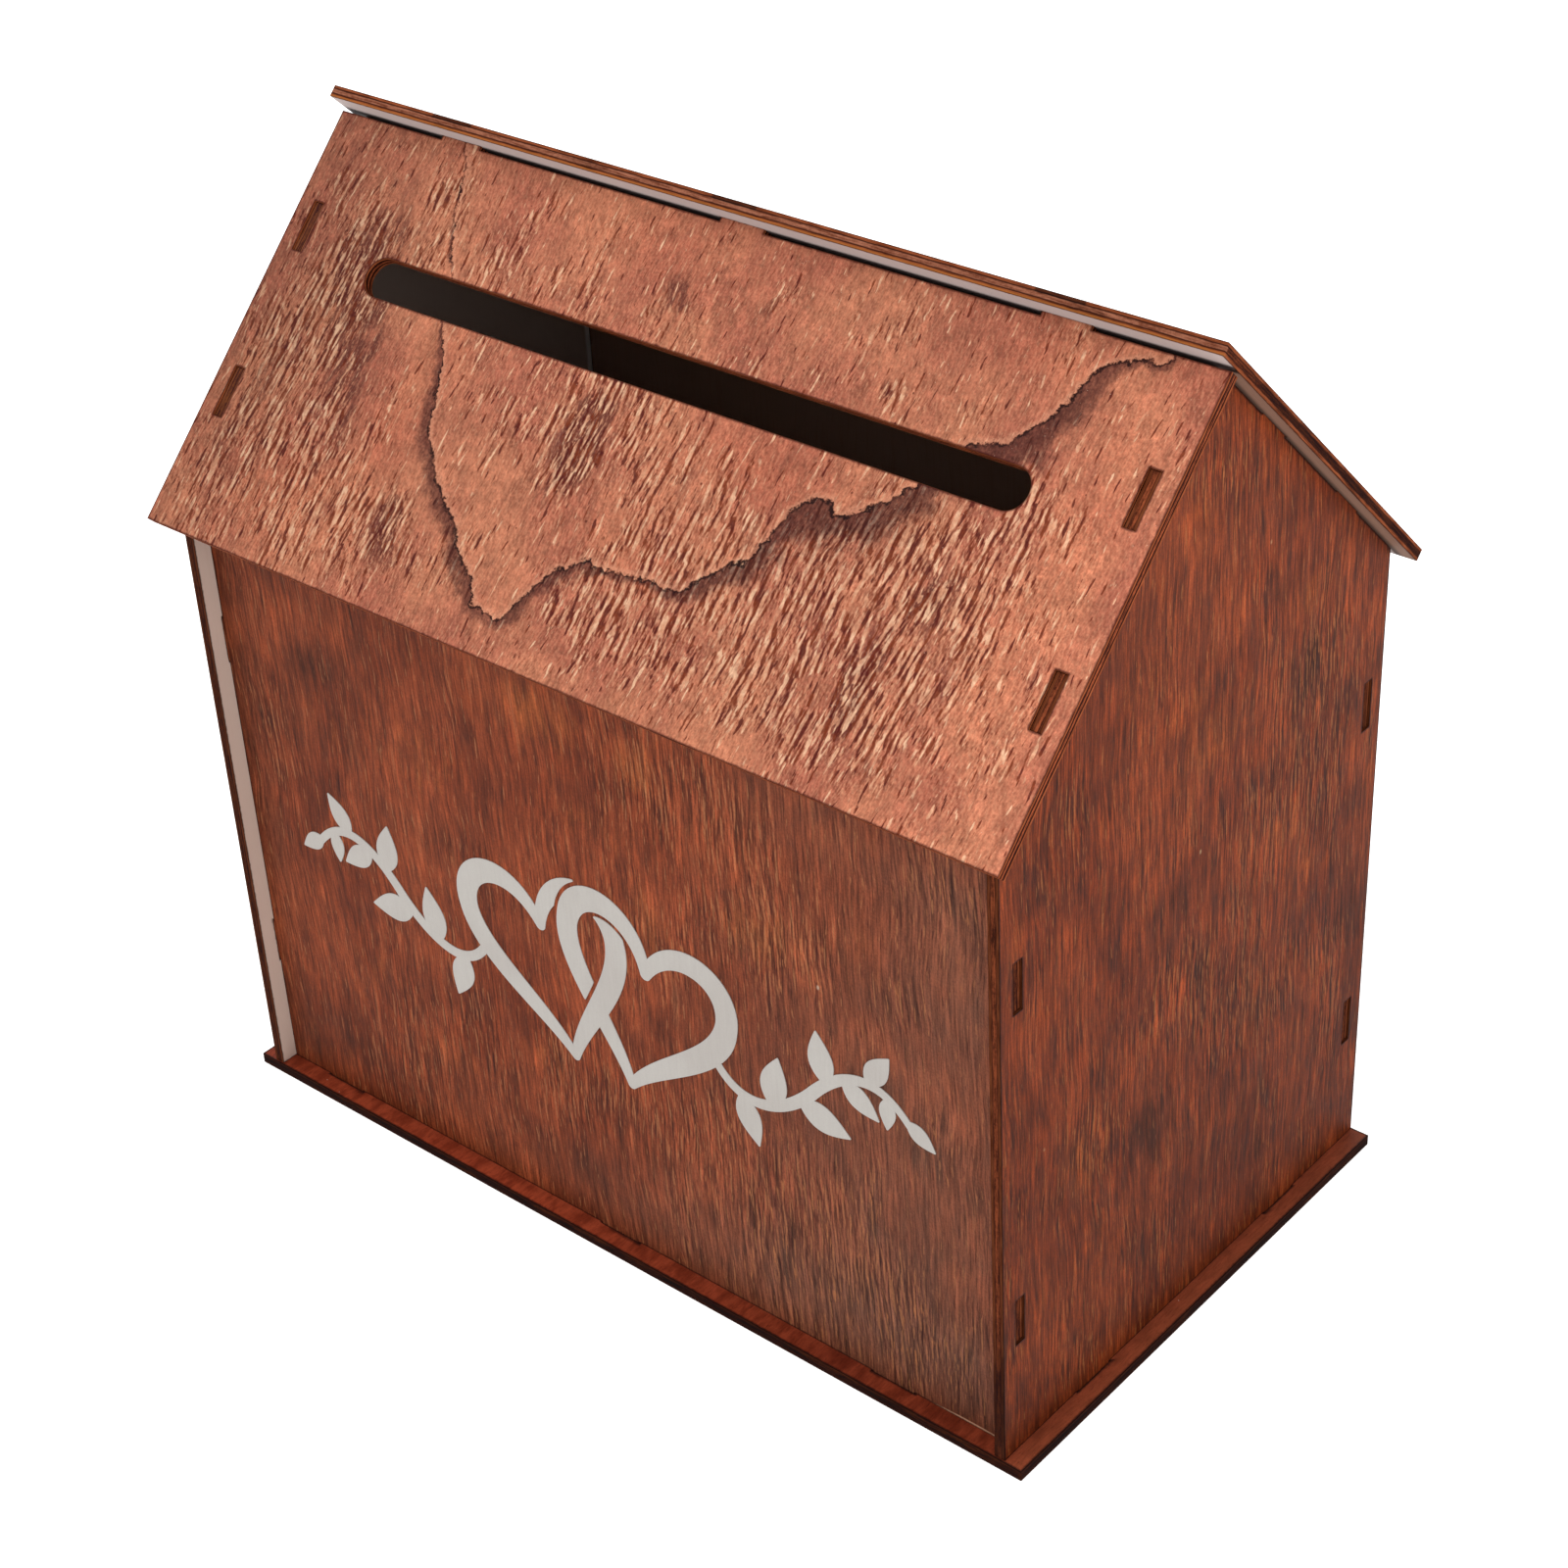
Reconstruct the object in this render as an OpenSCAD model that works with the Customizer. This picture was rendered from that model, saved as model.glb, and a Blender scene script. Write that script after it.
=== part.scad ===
// Card box for a wedding table, shaped like a small house with a 45 degree gable
// roof. Seven laser-cut plywood panels slot together with tabs, and a flat motif
// lies on the front. Origin: middle of the underside of the base, front is -Y, +Z up.

/* [Board] */
// Thickness of the plywood panels
board_t = 3; // [2.6:0.1:3.4]
// Play left on each side of a tab in its slot
tab_play = 0.1; // [0.05:0.05:0.2]
// Length of every tab and slot
tab_w = 13; // [9:0.5:16]
// How far a tab end stays below the outer face that it comes through
tab_short = 0.6; // [0.2:0.1:1]

/* [Box] */
// Width over the outer faces of the two gable walls
box_w = 250; // [240:1:254]
// Depth of the gable walls
box_d = 150; // [140:1:150]
// Height of the gable walls at the eaves, above the base
eave_h = 172; // [150:1:200]
// How far the front and back panels stand in from the gable wall edges
panel_inset = 4.7; // [3:0.1:6]
// Height of the tabs that join front and back panels to the gable walls, above the base
wall_tab_z = [39.2, 132.6];

/* [Base] */
// Width of the base
base_w = 260; // [258:1:270]
// Depth of the base
base_d = 151; // [151:1:170]
// Places of the gable wall feet along the depth
wall_foot_y = [-40, 40];
// Places of the front and back panel feet along the width
panel_foot_x = [-101.4, 0, 88.5];

/* [Roof] */
// Width of both roof panels
roof_w = 260; // [258:1:270]
// How far the front roof runs past the gable corner, along the slope
front_eave = 6.4; // [3:0.1:9]
// How far the rear roof runs past the gable corner, along the slope
rear_eave = 5; // [3:0.1:9]
// How far the rear roof stands beyond the outer face of the front roof
ridge_lip = 6; // [3:0.1:8]
// Open line between the top edge of the front roof and the underside of the rear roof
ridge_gap = 0.8; // [0.3:0.1:1.2]
// Clearance under the lift-off rear roof
seat_gap = 0.1; // [0.05:0.05:0.2]
// Places of the gable tabs, up the slope from the gable corner
roof_tab_s = [30, 75];
// Places of the front roof tabs along the ridge
ridge_tab_x = [-89, 0, 89];

/* [Card slot] */
// Length of the slot for envelopes
slot_l = 197; // [180:1:205]
// Width of the slot
slot_w = 10; // [8:0.5:14]
// Place of the slot, up the slope from the gable corner
slot_s = 68.6; // [64:0.1:72]

/* [Motif] */
// Thickness of the motif
motif_t = 0.2; // [0.1:0.05:0.4]
// Height of the middle of the motif above the base
motif_z = 79; // [70:1:90]
// Reach of each side sprig from the middle
motif_reach = 103; // [100:1:108]
// Height of each heart, along the middle of its line
heart_h = 54; // [52:1:56]
// How far apart the middles of the two hearts are
heart_apart = 30; // [28:1:32]
// Width of the line that outlines the hearts, on their sides
ribbon_w = 6.6; // [5:0.1:7.5]

/* [Hidden] */
$fn = 48;
t = board_t;
eave_z = t + eave_h;
slope_l = box_d / 2 * sqrt(2);
panel_y = box_d / 2 - panel_inset - t / 2;       // middle plane of front and back panels
panel_w = box_w - 2 * t - 0.1;                   // between the gable walls
panel_top = eave_z + panel_inset - 1.5;          // just under the roof
foot_drop = t - 0.2;                             // feet stop just above the table
wall_x = box_w / 2 - t / 2;                      // middle plane of the gable walls
slot_t = t + 2 * tab_play;                       // slot across the board
slot_tab = tab_w + 2 * tab_play;                 // slot along the tab
ridge_slot = slope_l + t / 2;                    // ridge slot, from the gable corner

print_brown = [0.44, 0.24, 0.17];
print_salmon = [0.72, 0.44, 0.34];
stain_red = [0.42, 0.18, 0.11];
motif_white = [0.78, 0.75, 0.71];

// rectangle given by its middle
module pad(x, y, w, h) { translate([x - w / 2, y - h / 2]) square([w, h]); }

// the gable wall seen from the side, x along the depth, y up
module gable_outline() {
    difference() {
        union() {
            polygon([[-box_d / 2, t], [box_d / 2, t], [box_d / 2, eave_z],
                     [0, eave_z + box_d / 2], [-box_d / 2, eave_z]]);
            for (y = wall_foot_y) translate([y - tab_w / 2, t - foot_drop]) square([tab_w, foot_drop + 1]);
            for (m = [-1, 1], s = roof_tab_s) translate([m * box_d / 2, eave_z]) rotate(-45 * m)
                translate([-m * s - tab_w / 2, -1]) square([tab_w, t - tab_short + 1]);
        }
        for (m = [-1, 1], z = wall_tab_z) pad(m * panel_y, t + z, slot_t, slot_tab);
    }
}

module gable_wall(side) {
    translate([side * wall_x - t / 2, 0, 0]) rotate([90, 0, 90]) linear_extrude(t) gable_outline();
}

// front or back panel seen from the front, x along the width, y up
module panel_outline() {
    union() {
        translate([-panel_w / 2, t]) square([panel_w, panel_top - t]);
        for (x = panel_foot_x) translate([x - tab_w / 2, t - foot_drop]) square([tab_w, foot_drop + 1]);
        for (z = wall_tab_z) pad(0, t + z, box_w - 2 * tab_short, tab_w);
    }
}

module upright_panel(side) {
    translate([0, side * panel_y + t / 2, 0]) rotate([90, 0, 0]) linear_extrude(t) panel_outline();
}

// puts a flat roof outline on the front slope: x along the ridge, y up the slope
module on_front_slope() { translate([0, -box_d / 2, eave_z]) rotate([45, 0, 0]) children(); }
module on_rear_slope() { mirror([0, 1, 0]) on_front_slope() children(); }

module round_ended_slot(l, w) {
    union() {
        pad(0, 0, l - w, w);
        for (m = [-1, 1]) translate([m * (l - w) / 2, 0]) circle(d = w);
    }
}

module gable_tab_slots() {
    for (m = [-1, 1], s = roof_tab_s) pad(m * wall_x, s, slot_t, slot_tab);
}

module base_plate() {
    color(stain_red) linear_extrude(t) difference() {
        pad(0, 0, base_w, base_d);
        for (m = [-1, 1], y = wall_foot_y) pad(m * wall_x, y, slot_t, slot_tab);
        for (m = [-1, 1], x = panel_foot_x) pad(x, m * panel_y, slot_tab, slot_t);
    }
}

module left_gable_wall() { color(print_brown) gable_wall(-1); }

module right_gable_wall() { color(print_brown) gable_wall(1); }

module front_panel() { color(print_brown) upright_panel(-1); }

module back_panel() { color(print_brown) upright_panel(1); }

module front_roof_panel() {
    color(print_salmon) on_front_slope() linear_extrude(t) difference() {
        union() {
            translate([-roof_w / 2, -front_eave]) square([roof_w, front_eave + slope_l - ridge_gap]);
            for (x = ridge_tab_x) translate([x - tab_w / 2, slope_l - 2]) square([tab_w, t + 2 - 0.1]);
        }
        gable_tab_slots();
        translate([0, slot_s]) round_ended_slot(slot_l, slot_w);
    }
}

module rear_roof_panel() {
    color(print_salmon) on_rear_slope() translate([0, 0, seat_gap]) linear_extrude(t) difference() {
        translate([-roof_w / 2, -rear_eave]) square([roof_w, rear_eave + slope_l + t + ridge_lip]);
        gable_tab_slots();
        for (x = ridge_tab_x) pad(x, ridge_slot, slot_tab, slot_t);
    }
}

// point on a cubic curve, and its slope
function mix3(p, u) = p[0] * pow(1 - u, 3) + 3 * p[1] * u * pow(1 - u, 2) + 3 * p[2] * u * u * (1 - u) + p[3] * pow(u, 3);
function run3(p, u) = 3 * (p[1] - p[0]) * pow(1 - u, 2) + 6 * (p[2] - p[1]) * u * (1 - u) + 3 * (p[3] - p[2]) * u * u;
function side3(p, u) = let (d = run3(p, u)) [-d[1], d[0]] / norm(d);

// stroke along a cubic curve, w0 wide at its start and w1 at its end
module stroke(p, w0, w1, n = 24) {
    polygon(concat(
        [for (i = [0:n]) let (u = i / n) mix3(p, u) + side3(p, u) * (w0 + (w1 - w0) * u) / 2],
        [for (i = [n:-1:0]) let (u = i / n) mix3(p, u) - side3(p, u) * (w0 + (w1 - w0) * u) / 2]));
    translate(p[0]) circle(d = w0, $fn = 24);
    translate(p[3]) circle(d = w1, $fn = 24);
}

// pointed leaf of length l and width w, growing along +x
module leaf(l, w, n = 16) {
    polygon(concat(
        [for (i = [0:n]) let (u = i / n) [l * u, w / 2 * sin(180 * pow(u, 0.8))]],
        [for (i = [n - 1:-1:1]) let (u = i / n) [l * u, -w / 2 * sin(180 * pow(u, 0.8))]]));
}

// pen stroke along a cubic curve: w0 wide at its start, wm half way and w1 at its end
function pen_w(u, w0, wm, w1) = w0 + (w1 - w0) * u + (wm - (w0 + w1) / 2) * 4 * u * (1 - u);
module pen(p, w0, wm, w1, n = 30) {
    polygon(concat(
        [for (i = [0:n]) let (u = i / n) mix3(p, u) + side3(p, u) * pen_w(u, w0, wm, w1) / 2],
        [for (i = [n:-1:0]) let (u = i / n) mix3(p, u) - side3(p, u) * pen_w(u, w0, wm, w1) / 2]));
    translate(p[0]) circle(d = w0, $fn = 32);
    translate(p[3]) circle(d = w1, $fn = 32);
}

// heart outline drawn with a broad pen: thin at the tip and the notch, full on the sides
module half_heart(h, w) {
    pen([[0, -0.5 * h], [0.13 * h, -0.26 * h], [0.47 * h, -0.05 * h], [0.47 * h, 0.2 * h]], 0.42 * w, 0.95 * w, w);
    pen([[0.47 * h, 0.2 * h], [0.47 * h, 0.47 * h], [0.1 * h, 0.5 * h], [0, 0.19 * h]], w, w, 0.5 * w);
}
module heart(side) {
    translate([side * heart_apart / 2, 0]) rotate(-side * 12) {
        half_heart(heart_h, ribbon_w);
        mirror([1, 0]) half_heart(heart_h, ribbon_w);
    }
}

// the two hearts pass over and under each other where their ribbons cross; below
// the second crossing they stay joined, so that the motif is one piece
module hearts() {
    difference() {
        heart(-1);
        intersection() {
            offset(delta = 1.1) heart(1);
            translate([-16, 0]) square([44, 40]);
        }
    }
    difference() {
        heart(1);
        intersection() {
            offset(delta = 1.1) heart(-1);
            translate([-28, -40]) square([44, 40]);
            translate([0, -5]) rotate(58) translate([-40, 0]) square([80, 40]);
        }
    }
}

// swash with leaves on alternate sides, running out to +x
stem_a = [[37.5, -5], [45, -17], [57, -13], [67, -2]];
stem_b = [[67, -2], [75, 8], [86, 15], [motif_reach - 7, 3]];
module leaf_on(stem, u, turn, size) {
    q = mix3(stem, u);
    d = run3(stem, u);
    translate(q) rotate(atan2(d[1], d[0]) + turn) leaf(size, size * 0.5);
}
module sprig() {
    stroke(stem_a, 2.6, 3.4);
    stroke(stem_b, 3.4, 2.2);
    leaf_on(stem_a, 0.3, -52, 15);
    leaf_on(stem_a, 0.6, 58, 16);
    leaf_on(stem_a, 0.88, -55, 16);
    leaf_on(stem_b, 0.18, 55, 15);
    leaf_on(stem_b, 0.36, -64, 13);
    leaf_on(stem_b, 0.6, 52, 12.5);
    leaf_on(stem_b, 0.8, -66, 9.5);
    leaf_on(stem_b, 0.97, 14, 10);
}

module front_motif() {
    color(motif_white) translate([0, -panel_y - t / 2, t + motif_z]) rotate([90, 0, 0])
        linear_extrude(motif_t) offset(r = 0.3, $fn = 16) offset(delta = -0.3) {
            hearts();
            sprig();
            mirror([1, 0]) sprig();
        }
}

base_plate();
left_gable_wall();
right_gable_wall();
front_panel();
back_panel();
front_roof_panel();
rear_roof_panel();
front_motif();
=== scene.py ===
import bpy, bmesh, math, random
import numpy as np
from mathutils import Matrix, Vector


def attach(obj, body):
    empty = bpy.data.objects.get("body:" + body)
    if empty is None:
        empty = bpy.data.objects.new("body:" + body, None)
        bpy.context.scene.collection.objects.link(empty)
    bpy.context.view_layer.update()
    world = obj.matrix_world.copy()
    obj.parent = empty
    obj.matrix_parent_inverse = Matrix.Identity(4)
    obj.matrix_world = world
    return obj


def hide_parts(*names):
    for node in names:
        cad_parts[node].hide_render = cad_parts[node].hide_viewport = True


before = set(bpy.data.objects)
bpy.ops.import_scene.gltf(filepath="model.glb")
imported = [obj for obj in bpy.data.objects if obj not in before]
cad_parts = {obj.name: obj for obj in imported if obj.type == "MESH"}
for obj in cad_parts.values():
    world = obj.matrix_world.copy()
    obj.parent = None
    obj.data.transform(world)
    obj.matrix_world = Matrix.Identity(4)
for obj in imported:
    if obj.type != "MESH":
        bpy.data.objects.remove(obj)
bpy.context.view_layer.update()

# ---------------------------------------------------------------- panels
# Every board has its own flat coordinates in millimetres: u across the grain,
# v along the grain, w the depth under the printed face. A material reads them
# from the "pc" attribute, so grain and plies stay on the board at any pose.
C45 = math.sqrt(0.5)
BOARDS = {
    # node: (origin, u, v, outward normal, body, record slot, shift of the pattern)
    "front_roof_panel": ((0, -0.075, 0.175), (1, 0, 0), (0, C45, C45), (0, -C45, C45), "house", "printed_roof_plywood", (0, 0)),
    "rear_roof_panel": ((0, 0.075, 0.175), (-1, 0, 0), (0, -C45, C45), (0, C45, C45), "rear_roof", "printed_roof_plywood", (540, 310)),
    "right_gable_wall": ((0.125, 0, 0), (0, 1, 0), (0, 0, 1), (1, 0, 0), "house", "printed_wall_plywood", (1300, 70)),
    "left_gable_wall": ((-0.125, 0, 0), (0, -1, 0), (0, 0, 1), (-1, 0, 0), "house", "printed_wall_plywood", (1900, 730)),
    "front_panel": ((0, -0.0703, 0), (1, 0, 0), (0, 0, 1), (0, -1, 0), "house", "printed_wall_plywood", (2500, 90)),
    "back_panel": ((0, 0.0703, 0), (-1, 0, 0), (0, 0, 1), (0, 1, 0), "house", "printed_wall_plywood", (3300, 510)),
    "base_plate": ((0, 0, 0.003), (1, 0, 0), (0, 1, 0), (0, 0, 1), "house", "stained_base_plywood", (4100, 150)),
}

# soft patches: (u, v, radius u, radius v, amount)
# the shade and light rows are painted shade and painted light: broad patches where a board is drawn darker or lighter
# for the light it gets
PATCHES = {
    "front_roof_panel": {
        "dark": [(-100, 73, 13, 16, .6), (-92, 50, 9, 16, .55), (-104, 12, 9, 9, .3), (-118, 24, 6, 16, .35), (-112, 45, 8, 20, .3), (-16, 47, 7, 14, .95), (-59, 14, 5, 9, .75),
                 (-50, 8, 9, 5, .35), (-8, 86, 7, 7, .5), (17, 90, 4, 6, .35), (56, 80, 5, 4, .45), (72, 83, 2, 3, .5), (58, 97, 3, 4, .35),
                 (80, 18, 4, 13, .95), (88, 41, 7, 9, .6), (74, 52, 8, 8, .35), (98, 24, 6, 14, .3), (92, 3, 6, 6, .35), (-28, 30, 6, 8, .25),
                 (-84, 30, 4, 18, .35), (-120, 92, 6, 12, .3), (60, 47, 6, 4, .5), (112, 40, 3, 9, .25), (-2, 60, 14, 6, .2)],
        "rough": [(-105, 60, 22, 40, .75), (-95, 16, 24, 18, .5), (-118, 6, 16, 14, .35), (-74, 4, 16, 9, .5), (-55, 12, 22, 10, .65), (-15, 52, 28, 16, .85), (-58, 82, 12, 7, .7),
                  (-32, 80, 10, 6, .35), (10, 14, 20, 12, .75), (45, 24, 26, 20, .95), (85, 38, 24, 24, .95), (100, 62, 12, 10, .45), (-5, 84, 9, 8, .4),
                  (20, 88, 7, 9, .35), (56, 94, 8, 8, .4), (60, 80, 18, 3, .45), (90, 8, 26, 10, .45), (22, 44, 18, 8, .35), (-36, 96, 16, 8, .35),
                  (116, 20, 10, 20, .2), (-86, 92, 8, 8, .5), (60, 8, 18, 8, .5), (98, 88, 10, 14, .2)],
        "warm": [(-92, 12, 22, 12, .7), (-70, 35, 8, 14, .6), (30, 55, 22, 9, .5), (-62, 63, 9, 9, .4), (115, 70, 10, 25, .4), (112, 30, 12, 20, .3),
                 (15, 30, 20, 6, .4), (-20, 97, 28, 8, .3), (90, 98, 14, 8, .35)],
        "shade": [(-131, 60, 44, 80, .33), (-60, 20, 30, 25, .05)],
        "light": [(131, 50, 34, 80, .17), (110, 5, 40, 30, .06)],
    },
    "front_panel": {
        "dark": [(-90, 140, 14, 9, .6), (-119, 75, 6, 26, .35), (-43, 106, 12, 9, .5), (-60, 28, 12, 10, .4), (86, 92, 9, 8, .65), (100, 79, 9, 9, .55),
                 (58, 28, 9, 20, .35), (10, 12, 12, 9, .3), (-66, 150, 9, 9, .3), (106, 152, 8, 12, .35), (-78, 95, 18, 10, .3), (-30, 16, 9, 8, .3),
                 (44, 92, 10, 12, .3), (28, 62, 20, 6, .2), (112, 30, 8, 22, .25), (-40, 142, 10, 7, .25)],
        "rough": [(20, 148, 12, 16, .8), (46, 150, 18, 14, .75), (60, 118, 24, 14, .8), (100, 140, 20, 22, .3), (18, 104, 14, 12, .6), (60, 35, 42, 30, .85),
                  (-8, 45, 24, 20, .6), (-70, 25, 22, 24, .5), (-110, 125, 9, 20, .5), (100, 20, 16, 18, .6), (-50, 50, 16, 12, .35)],
        "warm": [(-13, 154, 14, 9, .8), (20, 150, 7, 9, .8), (-52, 127, 14, 10, .45), (55, 120, 14, 8, .75), (19, 108, 6, 9, .65), (-56, 35, 12, 8, .45),
                 (-20, 49, 9, 9, .45), (-92, 122, 12, 7, .3), (2, 130, 16, 7, .35), (-85, 50, 10, 10, .35), (84, 128, 8, 12, .35), (-110, 12, 12, 8, .35)],
        "painted_sheen": [(112, 145, 20, 42, .6), (70, 158, 24, 14, .3), (95, 60, 55, 75, .75), (80, 15, 70, 22, .5), (83, 48, 2.4, 3.6, .9), (20, 14, 50, 14, .25), (-118, 90, 7, 90, .25)],
        "shade": [(-115, 150, 60, 60, .2), (-100, 10, 70, 50, .16), (100, 8, 60, 50, .12), (0, 0, 200, 30, .06)],
        "light": [(-5, 130, 45, 45, .06), (60, 150, 50, 30, .04)],
        "bare": [(112, 2.7, 13, 1.1, 1.2)],
    },
    "right_gable_wall": {
        "dark": [(41, 159, 9, 15, .75), (27, 186, 9, 8, .6), (-19, 64, 11, 14, .75), (-10, 124, 11, 9, .5), (26, 30, 15, 11, .5), (64, 78, 9, 16, .55),
                 (-62, 154, 9, 6, .55), (0, 184, 6, 7, .4), (-68, 96, 7, 10, .35), (-28, 200, 12, 12, .25), (14, 212, 9, 8, .2), (60, 140, 8, 14, .25),
                 (-12, 30, 14, 10, .35), (54, 12, 16, 8, .35), (2, 100, 10, 8, .25), (-34, 160, 9, 8, .2)],
        "rough": [(44, 158, 18, 15, .9), (36, 128, 28, 18, .8), (-4, 96, 28, 16, .85), (2, 224, 14, 9, .75), (-52, 168, 18, 12, .5), (-45, 75, 16, 16, .5),
                  (24, 75, 22, 16, .7), (60, 60, 12, 30, .5), (-30, 30, 30, 20, .3), (-20, 140, 22, 12, .3)],
        "warm": [(3, 159, 18, 9, .7), (42, 180, 9, 5, .8), (-45, 71, 10, 12, .75), (34, 119, 8, 7, .6), (23, 74, 9, 11, .55), (44, 104, 12, 6, .6),
                 (-5, 175, 16, 9, .35), (-20, 190, 12, 9, .35), (-38, 40, 12, 14, .35), (18, 48, 12, 12, .35), (-2, 216, 9, 9, .4), (-60, 125, 9, 12, .2)],
        "painted_sheen": [(-10, 205, 40, 22, .12)],
        "shade": [(0, 0, 160, 120, .24), (75, 70, 26, 80, .06), (0, 130, 200, 300, .08)],
        "light": [(0, 225, 60, 60, .14)],
    },
}
CRACKS = {
    # node: points (u, v, width of the shaded side), with the lifted sheet above it
    "front_roof_panel": [(-90, 112, .5), (-87, 105, .5), (-84, 101, .5), (-81, 89, .5), (-78, 84, 1.1), (-76, 79, .9), (-73, 75, .6), (-71, 69, .4), (-69, 63, 1.0),
                         (-66, 58, 1.8), (-64, 55, 2.2), (-62, 49, 2.4), (-60, 42, 2.8), (-58, 37, 3.0), (-54, 33, 3.4), (-51, 29, 4.0), (-47, 26, 4.0), (-44, 23, 4.0),
                         (-40, 21, 3.4), (-38, 19, 3.8), (-36, 16, 3.2), (-33, 13, 4.2), (-29, 11, 3.8), (-27, 9, 3.8), (-25, 6, 3.2), (-24, 4, 3.2), (-20, 4, 2.2), (-15, 3, 2.0),
                         (-13, 6, 3.0), (-12, 9, 3.4), (-9, 14, 3.4), (-7, 18, 4.0), (-3, 20, 3.4), (1, 24, 2.6), (3, 22, 2.0), (11, 23, 1.6), (19, 24, 2.0), (25, 23, 1.6), (29, 25, 3.6),
                         (33, 30, 4.6), (38, 34, 5.0), (40, 34, 4.6), (42, 38, 5.0), (44, 44, 6.0), (46, 49, 7.0), (50, 53, 9.0), (54, 54, 8.0), (56, 51, 6.0), (60, 52, 7.0), (64, 55, 7.0),
                         (69, 59, 7.0), (73, 64, 6.5), (77, 71, 6.0), (81, 75, 6.0), (88, 77, 6.0), (92, 81, 6.5), (96, 86, 6.0), (98, 90, 5.6), (101, 98, 4.2), (104, 100, 3.4),
                         (107, 101, 2.4), (111, 103, 2.0), (114, 102, 2.0), (116, 104, 2.2), (117, 112, 2.0)],
    "rear_roof_panel": [(-126, 120, .8), (-120, 96, 1.2), (-112, 88, 2.0), (-108, 76, 1.4), (-98, 72, 2.6), (-90, 60, 3.2), (-84, 62, 2.0), (-74, 50, 3.6), (-66, 38, 4.2),
                        (-58, 40, 2.2), (-44, 30, 3.0), (-30, 28, 1.8), (-18, 34, 3.6), (-6, 46, 5.0), (2, 44, 3.0), (16, 56, 4.2), (22, 70, 3.4), (34, 74, 2.0), (40, 88, 3.0),
                        (52, 92, 1.8), (58, 104, 2.4), (66, 108, 1.2), (70, 122, 1.0)],
}


def scattered(seed, u0, u1, v0, v1):
    """Patches for a face that is the builder's own: spread over the board, with a fixed seed."""
    r = random.Random(seed)
    made = {"dark": [], "rough": [], "warm": [], "painted_sheen": []}
    for kind, n, lo, hi in (("dark", 14, .25, .75), ("rough", 12, .4, .9), ("warm", 12, .3, .75), ("painted_sheen", 3, .08, .25)):
        for _ in range(n):
            s = r.uniform(6, 16) * (1.6 if kind in ("rough", "painted_sheen") else 1)
            made[kind].append((r.uniform(u0, u1), r.uniform(v0, v1), s, s * r.uniform(.8, 1.6), r.uniform(lo, hi)))
    return made


PATCHES["rear_roof_panel"] = scattered(11, -128, 128, 0, 112)
PATCHES["left_gable_wall"] = scattered(23, -74, 74, 4, 220)
PATCHES["back_panel"] = scattered(37, -120, 120, 4, 174)
PATCHES["base_plate"] = scattered(41, -128, 128, -74, 74)
# painted light: the base's right strip is drawn lighter and more orange, and its front-left strip lighter, than the
# rest
PATCHES["base_plate"]["warm"].append((132, 0, 9, 400, 1.1))
PATCHES["base_plate"]["light"] = [(132, -30, 8, 90, .5), (-50, -78, 90, 9, .75)]


def patch_sum(rows, u, v):
    total = np.zeros(len(u))
    for pu, pv, ru, rv, a in rows:
        total += a * np.exp(-(((u - pu) / ru) ** 2 + ((v - pv) / rv) ** 2))
    return np.clip(total, 0, 1.2)


def segment_distance(p, a, b):
    """Distance of every point p to each segment, as (points, segments), and the place along it."""
    d = b - a
    t = np.clip(((p[:, None] - a[None]) * d[None]).sum(2) / np.maximum((d * d).sum(1), 1e-9)[None], 0, 1)
    near = a[None] + t[..., None] * d[None]
    return np.linalg.norm(p[:, None] - near, axis=2), t


def crack_field(rows, u, v):
    """Signed distance to the torn line in mm, above it positive, and the width of its shade."""
    line = np.array([r[:2] for r in rows], float)
    wide = np.array([r[2] for r in rows], float)
    p = np.stack([u, v], 1)
    out_d, out_w = np.empty(len(p)), np.empty(len(p))
    for i in range(0, len(p), 4000):
        dist, t = segment_distance(p[i:i + 4000], line[:-1], line[1:])
        k = dist.argmin(1)
        n = np.arange(len(k))
        out_d[i:i + 4000] = dist[n, k]
        out_w[i:i + 4000] = wide[k] + (wide[k + 1] - wide[k]) * t[n, k]
    ring = np.vstack([line, [[line[-1][0], 200], [line[0][0], 200]]])
    inside = np.zeros(len(p), bool)
    for a, b in zip(ring, np.roll(ring, -1, 0)):
        cross = (a[1] > v) != (b[1] > v)
        with np.errstate(divide="ignore", invalid="ignore"):
            at = a[0] + (v - a[1]) * (b[0] - a[0]) / (b[1] - a[1])
        inside ^= cross & (u < at)
    return np.where(inside, out_d, -out_d), out_w


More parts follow.
